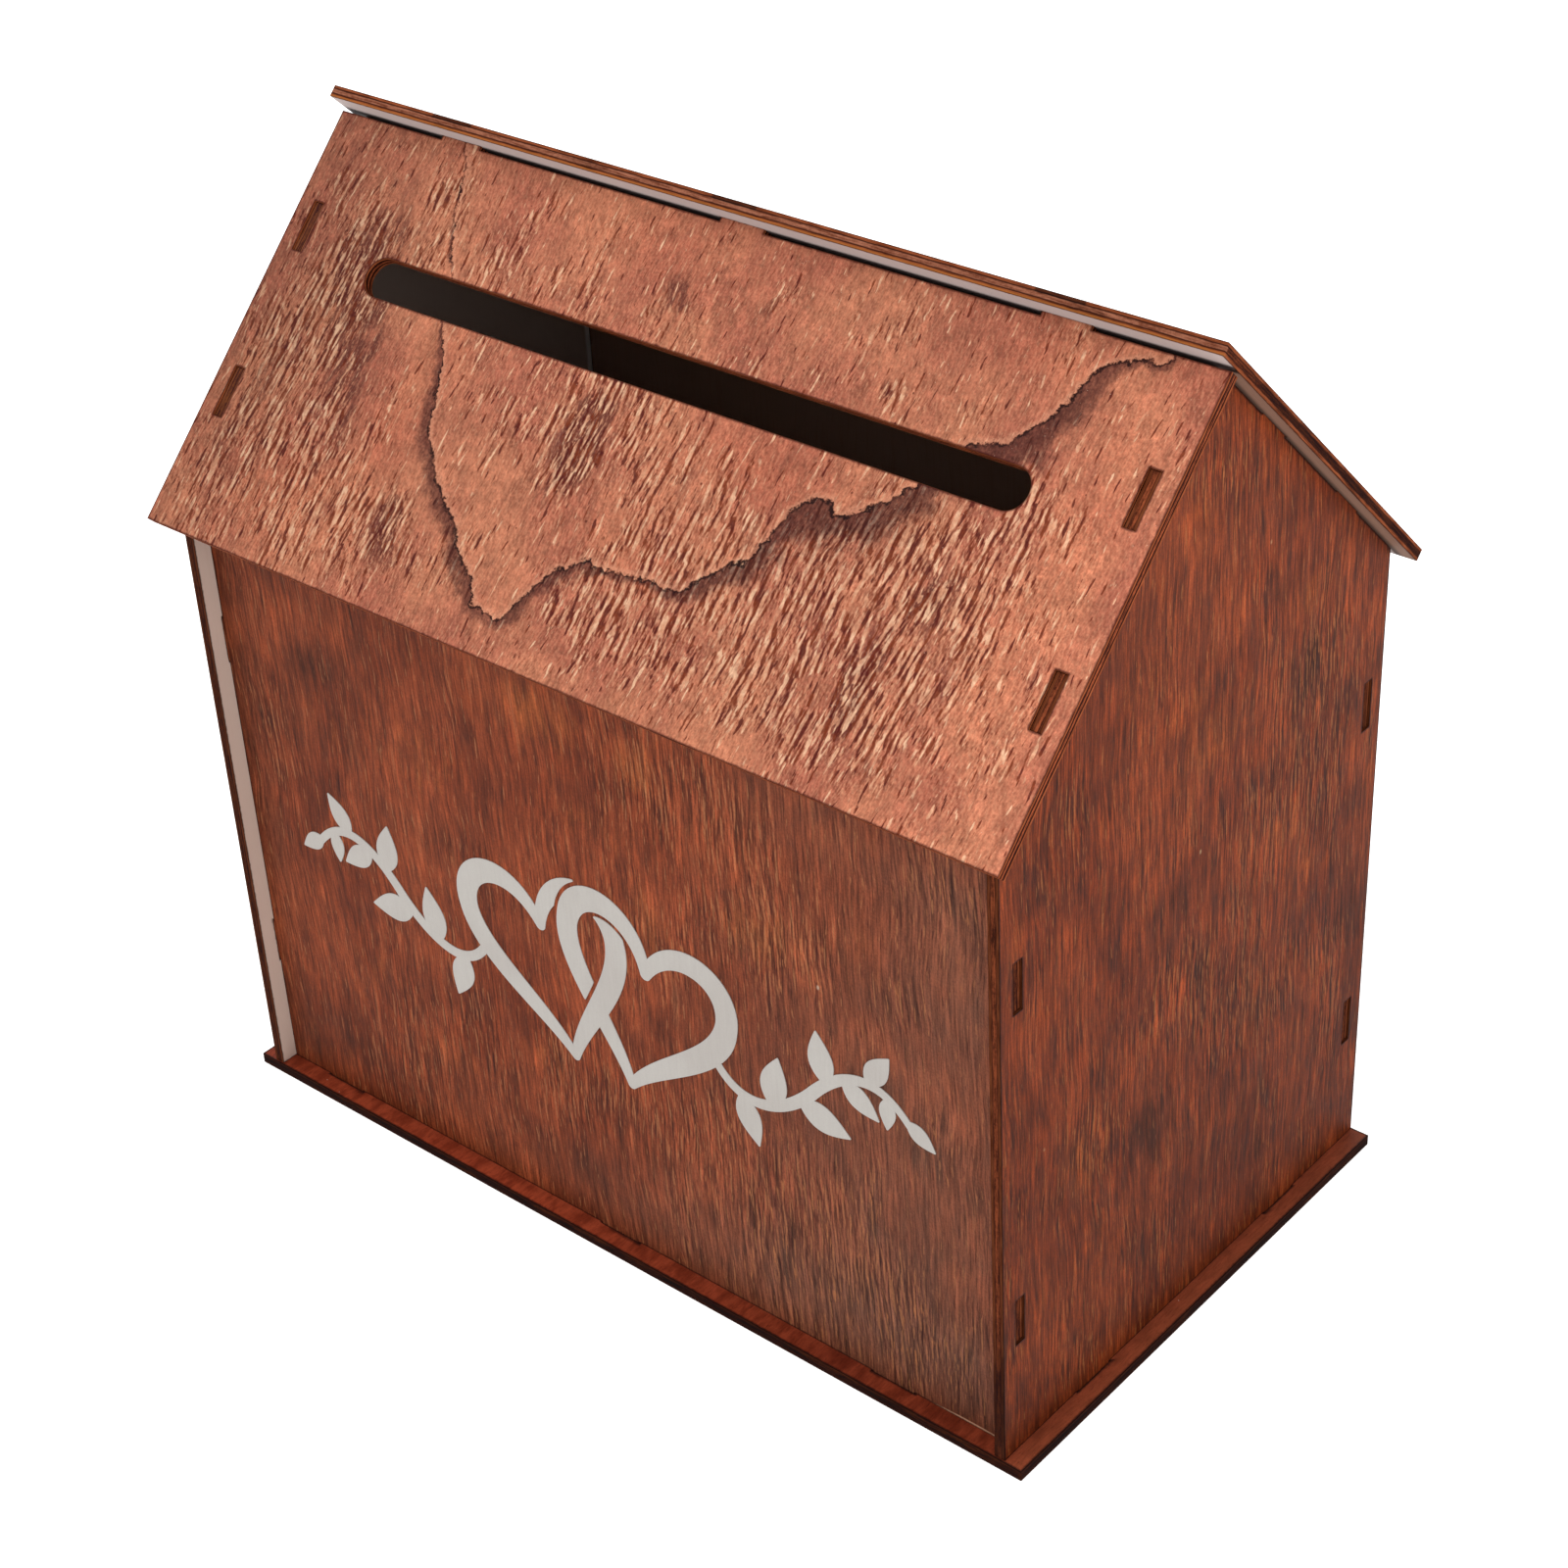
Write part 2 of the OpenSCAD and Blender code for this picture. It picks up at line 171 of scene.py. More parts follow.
def board(node, face_step, edge_lines, back_step=6.0):
    """A new piece for one board, from its CAD solid: the laser-cut arrises are eased, the faces are divided so that
    patches can be stored on them, and each face is sorted into printed face, bare back and cut edge."""
    origin, u, v, n, body, slot_name, shift = BOARDS[node]
    origin, u, v, n = Vector(origin), Vector(u), Vector(v), Vector(n)
    bm = bmesh.new()
    bm.from_mesh(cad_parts[node].data)
    bmesh.ops.remove_doubles(bm, verts=bm.verts[:], dist=2e-6)
    bmesh.ops.dissolve_limit(bm, angle_limit=math.radians(.5), verts=bm.verts[:], edges=bm.edges[:])
    bm.normal_update()
    sharp = [e for e in bm.edges if len(e.link_faces) == 2 and e.calc_face_angle(0) > math.radians(25)]
    bmesh.ops.bevel(bm, geom=sharp, offset=0.00011, offset_type="OFFSET", segments=2, profile=0.6, affect="EDGES", clamp_overlap=True)
    bmesh.ops.triangulate(bm, faces=bm.faces[:], quad_method="BEAUTY", ngon_method="BEAUTY")
    bm.normal_update()
    kind = bm.faces.layers.int.new("kind")
    for f in bm.faces:
        d = f.normal.dot(n)
        f[kind] = 0 if d > .995 else 1 if d < -.995 else 2
    border = [(e.verts[0].co.copy(), e.verts[1].co.copy(), {f[kind] for f in e.link_faces}) for e in bm.edges
              if len({f[kind] for f in e.link_faces}) == 2]
    co = [(x.co - origin) * 1000 for x in bm.verts]
    us, vs = [c.dot(u) for c in co], [c.dot(v) for c in co]

    def divide(side, step, extra):
        for axis, lo, hi, more in ((u, min(us), max(us), extra[0]), (v, min(vs), max(vs), extra[1])):
            count = max(1, int((hi - lo) / step))
            at = [lo + (hi - lo) * i / count for i in range(1, count)] + [x for x in more if lo + .2 < x < hi - .2]
            for x in at:
                faces = [f for f in bm.faces if f[kind] == side]
                geom = list({g for f in faces for g in (*f.verts, *f.edges)}) + faces
                bmesh.ops.bisect_plane(bm, geom=geom, dist=1e-6, plane_co=origin + axis * (x / 1000), plane_no=axis)

    divide(0, face_step, edge_lines)
    divide(1, back_step, edge_lines)
    bm.normal_update()
    for f in bm.faces:
        f.material_index = f[kind]
        f.smooth = False
    me = bpy.data.meshes.new(node + "_board")
    bm.to_mesh(me)
    bm.free()

    p = np.empty(len(me.vertices) * 3)
    me.vertices.foreach_get("co", p)
    p = (p.reshape(-1, 3) - np.array(origin)) * 1000
    pu, pv, pn = p @ np.array(u), p @ np.array(v), p @ np.array(n)
    depth = pn.max() - pn
    pc = np.stack([pu + shift[0], pv + shift[1], depth], 1)
    at = me.attributes.new("pc", "FLOAT_VECTOR", "POINT")
    at.data.foreach_set("vector", pc.astype(np.float32).ravel())

    marks = PATCHES[node]
    field = np.stack([patch_sum(marks.get(k, []), pu, pv) for k in ("dark", "rough", "warm")], 1)
    at = me.attributes.new("patch", "FLOAT_VECTOR", "POINT")
    at.data.foreach_set("vector", field.astype(np.float32).ravel())

    def flat(q):
        d = (np.array(q) - np.array(origin)) * 1000
        return [d @ np.array(u), d @ np.array(v)]

    seg = [(flat(a), flat(b)) for a, b, _ in border]
    sa, sb = np.array([s[0] for s in seg]), np.array([s[1] for s in seg])
    near = np.concatenate([segment_distance(np.stack([pu, pv], 1)[i:i + 3000], sa, sb)[0].min(1) for i in range(0, len(pu), 3000)])
    # painted sheen: patches where the lamps' reflection is drawn as a greyish haze
    painted_sheen = patch_sum(marks.get("painted_sheen", []), pu, pv)
    # painted light and shade: a factor above 1 where a board is drawn lighter, below 1 where it is drawn darker
    painted_light_shade = 1 + patch_sum(marks.get("light", []), pu, pv) - patch_sum(marks.get("shade", []), pu, pv)
    at = me.attributes.new("rim", "FLOAT_VECTOR", "POINT")
    at.data.foreach_set("vector", np.stack([near, painted_sheen, painted_light_shade], 1).astype(np.float32).ravel())
    if node in CRACKS:
        d, w = crack_field(CRACKS[node], pu, pv)
    else:
        d, w = np.full(len(pu), 99.0), np.zeros(len(pu))
    at = me.attributes.new("tear", "FLOAT_VECTOR", "POINT")
    at.data.foreach_set("vector", np.stack([d, w, patch_sum(marks.get("bare", []), pu, pv)], 1).astype(np.float32).ravel())

    o = bpy.data.objects.new(node + "_board", me)
    bpy.context.scene.collection.objects.link(o)
    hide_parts(node)
    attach(o, body)
    return o


# ---------------------------------------------------------------- materials
LIGHT = .8   # the set is a little brighter than a plain white room
VEIL = .012  # what the sheen of a surface adds to its colour in such a room


def lin(c):
    c /= 255
    return c / 12.92 if c <= .04045 else ((c + .055) / 1.055) ** 2.4


def rgb(r, g, b, k=LIGHT, veil=VEIL):
    return tuple(max(lin(c) * k - veil, .002) for c in (r, g, b)) + (1,)


class Graph:
    def __init__(self, name):
        self.mat = bpy.data.materials.new(name)
        self.mat.use_nodes = True
        self.tree = self.mat.node_tree
        self.tree.nodes.clear()
        self.out = self.tree.nodes.new("ShaderNodeOutputMaterial")
        self.bsdf = self.tree.nodes.new("ShaderNodeBsdfPrincipled")
        self.tree.links.new(self.bsdf.outputs[0], self.out.inputs[0])

    def put(self, socket, value):
        if isinstance(value, bpy.types.NodeSocket):
            self.tree.links.new(value, socket)
        elif value is not None:
            socket.default_value = value

    def math(self, op, a, b=None, c=None, clamp=False):
        x = self.tree.nodes.new("ShaderNodeMath")
        x.operation, x.use_clamp = op, clamp
        for s, value in zip(x.inputs, (a, b, c)):
            self.put(s, value)
        return x.outputs[0]

    def add(self, a, b): return self.math("ADD", a, b)
    def sub(self, a, b): return self.math("SUBTRACT", a, b)
    def mul(self, a, b): return self.math("MULTIPLY", a, b)
    def one_minus(self, a): return self.math("SUBTRACT", 1.0, a)

    def sep(self, vector):
        x = self.tree.nodes.new("ShaderNodeSeparateXYZ")
        self.put(x.inputs[0], vector)
        return x.outputs[0], x.outputs[1], x.outputs[2]

    def vec(self, x, y, z):
        n = self.tree.nodes.new("ShaderNodeCombineXYZ")
        for s, value in zip(n.inputs, (x, y, z)):
            self.put(s, value)
        return n.outputs[0]

    def vmul(self, a, b):
        n = self.tree.nodes.new("ShaderNodeVectorMath")
        n.operation = "MULTIPLY"
        self.put(n.inputs[0], a)
        self.put(n.inputs[1], b)
        return n.outputs[0]

    def vadd(self, a, b):
        n = self.tree.nodes.new("ShaderNodeVectorMath")
        n.operation = "ADD"
        self.put(n.inputs[0], a)
        self.put(n.inputs[1], b)
        return n.outputs[0]

    def attr(self, name):
        n = self.tree.nodes.new("ShaderNodeAttribute")
        n.attribute_name = name
        return n.outputs["Vector"]

    def noise(self, vector, scale=1.0, detail=2.0, rough=.5, twist=0.0):
        n = self.tree.nodes.new("ShaderNodeTexNoise")
        self.put(n.inputs["Vector"], vector)
        n.inputs["Scale"].default_value = scale
        n.inputs["Detail"].default_value = detail
        n.inputs["Roughness"].default_value = rough
        n.inputs["Distortion"].default_value = twist
        return n.outputs[0]

    def cells(self, vector, scale=1.0):
        n = self.tree.nodes.new("ShaderNodeTexVoronoi")
        self.put(n.inputs["Vector"], vector)
        n.inputs["Scale"].default_value = scale
        return n.outputs["Distance"], n.outputs["Color"]

    def vary(self, x, gain):
        """a factor round 1 from a noise round one half"""
        return self.math("MAXIMUM", self.math("MULTIPLY_ADD", self.sub(x, .5), gain, 1.0), .15)

    def ramp(self, x, lo, hi, smooth=True, out=(0.0, 1.0)):
        n = self.tree.nodes.new("ShaderNodeMapRange")
        n.interpolation_type = "SMOOTHSTEP" if smooth else "LINEAR"
        n.clamp = True
        self.put(n.inputs[0], x)
        for s, value in zip(list(n.inputs)[1:5], (lo, hi, out[0], out[1])):
            self.put(s, value)
        return n.outputs[0]

    def mix(self, f, a, b, mode="MIX"):
        n = self.tree.nodes.new("ShaderNodeMix")
        n.data_type, n.blend_type = "RGBA", mode
        self.put(n.inputs[0], f)
        self.put(n.inputs[6], a)
        self.put(n.inputs[7], b)
        return n.outputs[2]

    def grey(self, x):
        return self.vec(x, x, x)

    def scale_colour(self, colour, factor):
        """colour times a number"""
        n = self.tree.nodes.new("ShaderNodeVectorMath")
        n.operation = "SCALE"
        self.put(n.inputs[0], colour)
        self.put(n.inputs["Scale"], factor)
        return n.outputs[0]

    def bump(self, height, distance, strength=1.0, under=None):
        n = self.tree.nodes.new("ShaderNodeBump")
        n.inputs["Distance"].default_value = distance
        n.inputs["Strength"].default_value = strength
        self.put(n.inputs["Height"], height)
        if under is not None:
            self.put(n.inputs["Normal"], under)
        return n.outputs["Normal"]

    def finish(self, colour, roughness, normal=None, specular=.25, coat=None):
        self.put(self.bsdf.inputs["Base Color"], colour)
        self.put(self.bsdf.inputs["Roughness"], roughness)
        self.bsdf.inputs["Specular IOR Level"].default_value = specular
        if coat:
            self.bsdf.inputs["Coat Weight"].default_value = coat
            self.bsdf.inputs["Coat Roughness"].default_value = .35
        if normal is not None:
            self.put(self.bsdf.inputs["Normal"], normal)
        return self.mat


def embossed(g, u, v, seed, su, sv, du, dv, detail=2.0, rough=.5):
    """The lit and shaded sides of a rough surface, as a print of one shows them: the difference of one stretched
    noise at two close places. su and sv are the marks' size in mm, du and dv the way the light comes."""
    a = g.noise(g.vec(g.mul(g.add(u, du), 1 / su), g.mul(g.add(v, dv), 1 / sv), seed), 1, detail, rough)
    b = g.noise(g.vec(g.mul(g.sub(u, du), 1 / su), g.mul(g.sub(v, dv), 1 / sv), seed), 1, detail, rough)
    return g.sub(a, b)


def worn_rim(g, colour, pc, near, char, width=.7, strength=.75):
    """The scorched line that the laser leaves along every cut edge of a face."""
    ragged = g.add(near, g.mul(g.sub(g.noise(pc, .9, 3), .5), .5))
    return g.mix(g.mul(g.ramp(ragged, width, .05), strength), colour, char)


def roof_print(name):
    g = Graph(name)
    pc = g.attr("pc")
    u0, v0, w = g.sep(pc)
    dark, rough, warm = g.sep(g.attr("patch"))
    near, painted_sheen, painted_light_shade = g.sep(g.attr("rim"))
    tear, shade_w, _ = g.sep(g.attr("tear"))
    # the print's grain leans a little, and wanders
    wander = g.noise(g.vmul(pc, (.017, .02, 0)), 1, 2)
    u = g.add(g.sub(u0, g.mul(v0, .06)), g.mul(g.sub(wander, .5), 6.0))
    v = v0
    # broad colour
    broad = g.noise(g.vmul(pc, (.03, .024, 0)), 1, 3, .55)
    mid = g.noise(g.vec(g.mul(u, .2), g.mul(v, .11), 3.0), 1, 5, .65)
    blot = g.noise(g.vec(g.mul(u0, .5), g.mul(v0, .3), 6.0), 1, 4, .6)
    colour = g.mix(g.ramp(broad, .38, .62), rgb(166, 100, 81), rgb(187, 120, 93))
    colour = g.mix(g.mul(warm, .6), colour, rgb(194, 112, 84))
    colour = g.scale_colour(colour, g.vary(mid, 1.35))
    colour = g.scale_colour(colour, g.vary(blot, 1.25))
    mottle = g.noise(g.vmul(pc, (.85, .7, 0)), 1, 4, .7)
    colour = g.scale_colour(colour, g.vary(mottle, 1.1))
    # where the surface is rough, and where it lies dark
    zone = g.noise(g.vec(g.mul(u, .075), g.mul(v, .05), 8.0), 1, 4, .6)
    rough_here = g.math("MULTIPLY_ADD", rough, .95, g.mul(g.sub(zone, .5), 2.2), clamp=True)
    ragged = g.noise(g.vec(g.mul(u, .5), g.mul(v, .14), 21.0), 1, 5, .68)
    dark_here = g.ramp(g.add(g.mul(dark, .95), g.mul(g.sub(ragged, .5), 2.0)), .12, .62)
    dark_here = g.mul(dark_here, g.math("MINIMUM", g.mul(dark, 2.5), 1.0))
    colour = g.mix(g.mul(dark_here, .88), colour, rgb(98, 58, 53))
    plum = g.noise(g.vec(g.mul(u, .1), g.mul(v, .055), 51.0), 1, 5, .68)
    colour = g.mix(g.mul(g.ramp(plum, .54, .68), g.ramp(rough_here, .1, .8, True, (.25, .75))), colour, rgb(126, 76, 68))
    # long marks, lit on one side and shaded on the other, in clumps
    clump = g.noise(g.vec(g.mul(u, .23), g.mul(v, .1), 27.0), 1, 3, .6)
    gate = g.mul(g.ramp(rough_here, .0, .7), g.ramp(clump, .36, .52, True, (.3, 1)))
    big = embossed(g, u, v, 1.7, 1.5, 8.5, .38, .5, 1.6, .5)
    fine = embossed(g, u, v, 5.1, .95, 4.2, .26, .35, 2, .55)
    tiny = embossed(g, u, v, 9.4, .62, 1.7, .18, .2, 2, .6)
    marks = g.add(g.mul(big, 1.15), g.mul(fine, .85))
    lo = g.ramp(gate, 0, 1, False, (.26, .03))
    lit = g.ramp(g.sub(marks, lo), 0, .1)
    low = g.ramp(g.sub(g.mul(marks, -1.0), lo), 0, .1)
    soft_l = g.mul(g.ramp(tiny, .0, .18), g.ramp(gate, 0, .8, True, (.24, .6)))
    soft_d = g.mul(g.ramp(g.mul(tiny, -1.0), .0, .18), g.ramp(gate, 0, .8, True, (.26, .66)))
    colour = g.mix(soft_l, colour, rgb(211, 148, 115))
    colour = g.mix(soft_d, colour, rgb(118, 60, 45))
    colour = g.mix(g.mul(low, .86), colour, g.mix(g.ramp(g.noise(pc, .25, 2), .4, .6), rgb(82, 36, 25), rgb(116, 56, 40)))
    colour = g.mix(g.mul(lit, g.ramp(g.noise(g.vmul(pc, (.3, .2, 0)), 1, 3, .6), .36, .6, True, (.42, .9))), colour, g.mix(g.ramp(g.noise(pc, .31, 2), .4, .6), rgb(208, 150, 118), rgb(230, 184, 150)))
    # pits
    cell, tint = g.cells(g.vec(g.mul(u0, .24), g.mul(v0, .24), 2.0), 1)
    size = g.mul(g.sep(tint)[0], .085)
    pit = g.ramp(g.sub(size, cell), -.01, .02)
    colour = g.mix(g.mul(pit, .65), colour, rgb(76, 36, 29))
    # the torn edge of the lifted sheet
    jag = g.mul(g.sub(g.noise(g.vmul(pc, (.42, .42, 0)), 1, 6, .7), .5), 5.0)
    line = g.add(tear, jag)
    along = g.noise(g.vmul(pc, (.14, .14, 0)), 1, 4, .65)
    width = g.mul(shade_w, g.ramp(along, .34, .66, False, (.55, 1.45)))
    below = g.ramp(line, 0.12, -.12)
    fade = g.ramp(g.math("DIVIDE", g.mul(line, -1.0), g.math("MAXIMUM", width, .2)), 1.35, .35)
    shade = g.mul(below, fade)
    grit = g.noise(g.vmul(pc, (1.1, .8, 0)), 1, 4, .7)
    shade = g.mul(shade, g.ramp(grit, .34, .6, True, (.6, 1)))
    colour = g.mix(g.mul(shade, .95), colour, g.mix(1, colour, (.4, .38, .44, 1), "MULTIPLY"))
    colour = g.mix(g.mul(shade, .45), colour, rgb(84, 50, 46))
    wide = g.mul(g.mul(below, g.ramp(g.mul(line, -1.0), g.mul(width, 2.1), g.mul(width, .4))), g.ramp(shade_w, 2.2, 5.5))
    colour = g.mix(g.mul(wide, .5), colour, g.mix(1, colour, (.55, .52, .58, 1), "MULTIPLY"))
    line_w = g.ramp(shade_w, .3, 3.5, False, (.34, .66))
    edge = g.ramp(g.math("ABSOLUTE", g.add(line, .15)), line_w, .08)
    edge = g.mul(edge, g.ramp(g.noise(g.vmul(pc, (.3, .3, 0)), 1, 3), .38, .5, True, (.5, 1)))
    broken = g.ramp(g.noise(g.vmul(pc, (.2, .28, 0)), 1, 3, .6), .46, .55)
    edge = g.mul(edge, g.math("MAXIMUM", g.ramp(shade_w, .9, 2.0), broken))
    rim = g.mul(g.ramp(line, .1, .35), g.ramp(line, 1.8, .4))
    colour = g.mix(g.mul(rim, .5), colour, rgb(214, 150, 120))
    colour = g.mix(g.mul(edge, .95), colour, rgb(46, 25, 22))
    # print dots and paper-fine noise
    dust = g.noise(g.vmul(pc, (1.9, 1.4, 0)), 1, 4, .75)
    colour = g.scale_colour(colour, g.vary(dust, 1.35))
    speck, _ = g.cells(g.vec(g.mul(u0, .9), g.mul(v0, .9), 5.0), 1)
    colour = g.mix(g.mul(g.ramp(speck, .1, .03), g.ramp(g.noise(pc, .11, 2), .5, .6)), colour, rgb(216, 180, 158))
    # painted light and shade: the roof drawn darker to the left, lighter to the right
    colour = g.scale_colour(colour, painted_light_shade)
    colour = worn_rim(g, colour, pc, near, rgb(70, 34, 23), .5, .75)
    height = g.add(g.mul(g.noise(g.vec(g.mul(u, 1.6), g.mul(v, .12), w), 1, 3, .6), .8), g.mul(dust, .25))
    rough_out = g.ramp(g.add(g.mul(mid, .6), g.mul(dust, .4)), .3, .7, False, (.52, .66))
    return g.finish(colour, rough_out, g.bump(height, .00006, .5), .06)


def wall_print(name, warmth=(1, 1, 1), lines=1.0):
    g = Graph(name)
    pc = g.attr("pc")
    u0, v0, w = g.sep(pc)
    dark, rough, warm = g.sep(g.attr("patch"))
    near, painted_sheen, painted_light_shade = g.sep(g.attr("rim"))
    bare = g.sep(g.attr("tear"))[2]
    wander = g.noise(g.vmul(pc, (.02, .02, 0)), 1, 2)
    u = g.add(g.add(u0, g.mul(v0, .015)), g.mul(g.sub(wander, .5), 6.0))
    v = v0
    broad = g.noise(g.vmul(pc, (.033, .024, 0)), 1, 3, .55)
    mid = g.noise(g.vec(g.mul(u, .22), g.mul(v, .085), 3.0), 1, 5, .62)
    slow = g.noise(g.vec(g.mul(u, .08), g.mul(v, .04), 31.0), 1, 4, .6)
    colour = g.mix(g.ramp(broad, .36, .64), rgb(122, 62, 44), rgb(142, 73, 50))
    ragged = g.noise(g.vec(g.mul(u, .34), g.mul(v, .08), 14.0), 1, 5, .65)
    warm_here = g.ramp(g.add(g.mul(warm, .95), g.mul(g.sub(ragged, .5), 2.0)), .15, .95)
    colour = g.mix(g.mul(warm_here, .8), colour, rgb(163, 90, 55))
    streaky = g.noise(g.vec(g.mul(u, .42), g.mul(v, .032), 44.0), 1, 5, .66)
    dark_here = g.ramp(g.add(g.mul(dark, 1.1), g.add(g.mul(g.sub(streaky, .5), 1.9), g.mul(g.sub(mid, .5), 1.0))), .2, .85)
    dark_here = g.mul(dark_here, g.math("MINIMUM", g.math("MULTIPLY_ADD", dark, 2.2, .35), 1.0))
    colour = g.mix(g.mul(dark_here, .8), colour, rgb(72, 46, 39))
    colour = g.scale_colour(colour, g.vary(mid, 1.35))
    colour = g.scale_colour(colour, g.vary(slow, 1.25))
    band = g.noise(g.vec(g.mul(u, .36), g.mul(v, .03), 61.0), 1, 5, .66)
    colour = g.scale_colour(colour, g.vary(band, 1.3))
    colour = g.mix(g.mul(g.ramp(band, .56, .7), .45), colour, rgb(160, 100, 70))
    # painted sheen: a greyish haze that stands in for the reflection of the lamps
    colour = g.mix(g.mul(painted_sheen, .5), colour, rgb(122, 94, 80))
    # grain: fine lines everywhere, deeper and in pairs where the sheet is rough
    zone = g.noise(g.vec(g.mul(u, .085), g.mul(v, .03), 8.0), 1, 4, .6)
    rough_here = g.math("MULTIPLY_ADD", rough, .9, g.mul(g.sub(zone, .45), 2.6), clamp=True)
    hair = g.noise(g.vec(g.mul(u, 1.6), g.mul(v, .075), 2.0), 1, 4, .68)
    colour = g.scale_colour(colour, g.vary(hair, g.ramp(rough_here, 0, 1, True, (2.7 * lines, 4.1 * lines))))
    thread = g.noise(g.vec(g.mul(u, .85), g.mul(v, .045), 12.0), 1, 3, .6)
    colour = g.scale_colour(colour, g.vary(thread, g.ramp(rough_here, 0, 1, True, (1.4 * lines, 3.0 * lines))))
    pore = g.noise(g.vec(g.mul(u, 1.25), g.mul(v, .11), 17.0), 1, 2.5, .55)
    colour = g.mix(g.mul(g.ramp(pore, .58, .68), g.ramp(rough_here, 0, .8, True, (.3, .6))), colour, rgb(66, 33, 26))
    shine = g.noise(g.vec(g.mul(u, 1.1), g.mul(v, .12), 23.0), 1, 2.5, .55)
    colour = g.mix(g.mul(g.ramp(shine, .6, .7), g.ramp(rough_here, .1, .9, True, (.1, .8))), colour, rgb(190, 120, 80))
    big = embossed(g, u, v, 1.7, 1.1, 10.0, .28, .3, 2, .5)
    fine = embossed(g, u, v, 5.1, .7, 6.0, .19, .2, 2, .55)
    marks = g.add(g.mul(big, 1.0), g.mul(fine, .9))
    gate = g.ramp(rough_here, .1, .9)
    lo = g.ramp(gate, 0, 1, False, (.22, .05))
    lit = g.ramp(g.sub(marks, lo), 0, .16)
    low = g.ramp(g.sub(g.mul(marks, -1.0), lo), 0, .14)
    colour = g.mix(g.mul(low, .52), colour, rgb(62, 32, 26))
    colour = g.mix(g.mul(lit, .55), colour, rgb(186, 122, 84))
    # scratches and nicks
    cell, tint = g.cells(g.vec(g.mul(u0, .07), g.mul(v0, .045), 2.0), 1)
    red, green, _ = g.sep(tint)
    nick = g.mul(g.ramp(cell, .04, .012), g.ramp(red, .55, .65))
    colour = g.mix(g.mul(nick, .75), colour, rgb(210, 182, 158))
    dust = g.noise(g.vmul(pc, (2.0, 1.6, 0)), 1, 4, .75)
    colour = g.scale_colour(colour, g.vary(dust, 1.35))
    # painted light and shade: the walls drawn lighter towards the top, darker towards the bottom and in the corners
    colour = g.vmul(g.scale_colour(colour, g.mul(painted_light_shade, .8)), warmth)
    colour = g.mix(g.ramp(bare, .3, .6), colour, rgb(196, 150, 122))
    colour = worn_rim(g, colour, pc, near, rgb(46, 23, 17), .55, .8)
    height = g.add(g.mul(hair, .8), g.mul(dust, .25))
    rough_out = g.ramp(g.add(g.mul(mid, .6), g.mul(dust, .4)), .3, .7, False, (.5, .66))
    return g.finish(colour, rough_out, g.bump(height, .00006, .5), .06)


def bare_veneer(name, tint=None, amount=0.0, smoke_width=1.2, painted_light_seam=None, eaves=False):
    g = Graph(name)
    pc = g.attr("pc")
    u0, v0, w = g.sep(pc)
    near, painted_sheen, _ = g.sep(g.attr("rim"))
    broad = g.noise(g.vmul(pc, (.03, .02, 0)), 1, 3)
    u = g.add(u0, g.mul(g.sub(broad, .5), 8))
    colour = g.mix(g.ramp(broad, .35, .65), rgb(203, 178, 160), rgb(214, 192, 176))
    grain = g.noise(g.vec(g.mul(u, 1.5), g.mul(v0, .05), 4.0), 1, 4, .6)
    colour = g.mix(g.mul(g.ramp(grain, .48, .72), .5), colour, rgb(176, 140, 118))
    pores = g.noise(g.vec(g.mul(u, 3.5), g.mul(v0, .35), 6.0), 1, 2, .5)
    colour = g.mix(g.mul(g.ramp(pores, .6, .75), .35), colour, rgb(150, 112, 90))
    # the tint of each copy, then the smoke of the laser beside the cuts; the tint is painted light for the left wall's
    # inner face and painted shade for the inside faces
    if tint:
        colour = g.mix(amount, colour, tint)
    smoke = g.add(near, g.mul(g.sub(g.noise(pc, .35, 4), .5), smoke_width))
    colour = g.mix(g.mul(g.ramp(smoke, smoke_width, -.2), .4), colour, rgb(150, 98, 66))
    colour = worn_rim(g, colour, pc, near, rgb(60, 32, 22), .35, .7)
    if eaves:
        # the strips past the gable walls are browned by smoke; the crease beside each gable wall and the line where
        # the underside meets the front slope are darkened as painted shade
        out = g.add(g.math("ABSOLUTE", g.sub(u0, 540)), g.ramp(v0, 414.5, 418.5, True, (0, -6)))
        colour = g.mix(g.ramp(out, 124, 125), colour, g.vmul(colour, (.56, .385, .285)))
        colour = g.mix(g.mul(g.ramp(out, 124, 125), g.ramp(out, 127.2, 125.2)), colour, g.vmul(colour, (.3, .28, .28)))
        colour = g.mix(g.mul(g.ramp(v0, 415, 416), g.ramp(v0, 420.2, 418.6)), colour, g.vmul(colour, (.2, .17, .17)))
    # painted light: a pale line down the joint with the back panel, as if light came through the gap
    if painted_light_seam:
        colour = g.mix(g.ramp(g.math("ABSOLUTE", g.sub(u0, painted_light_seam)), 1.4, .5), colour, (.85, .8, .76, 1))
    height = g.add(g.mul(grain, .6), g.mul(pores, .4))
    return g.finish(colour, g.ramp(grain, .3, .7, False, (.62, .74)), g.bump(height, .00008, .5), .1)


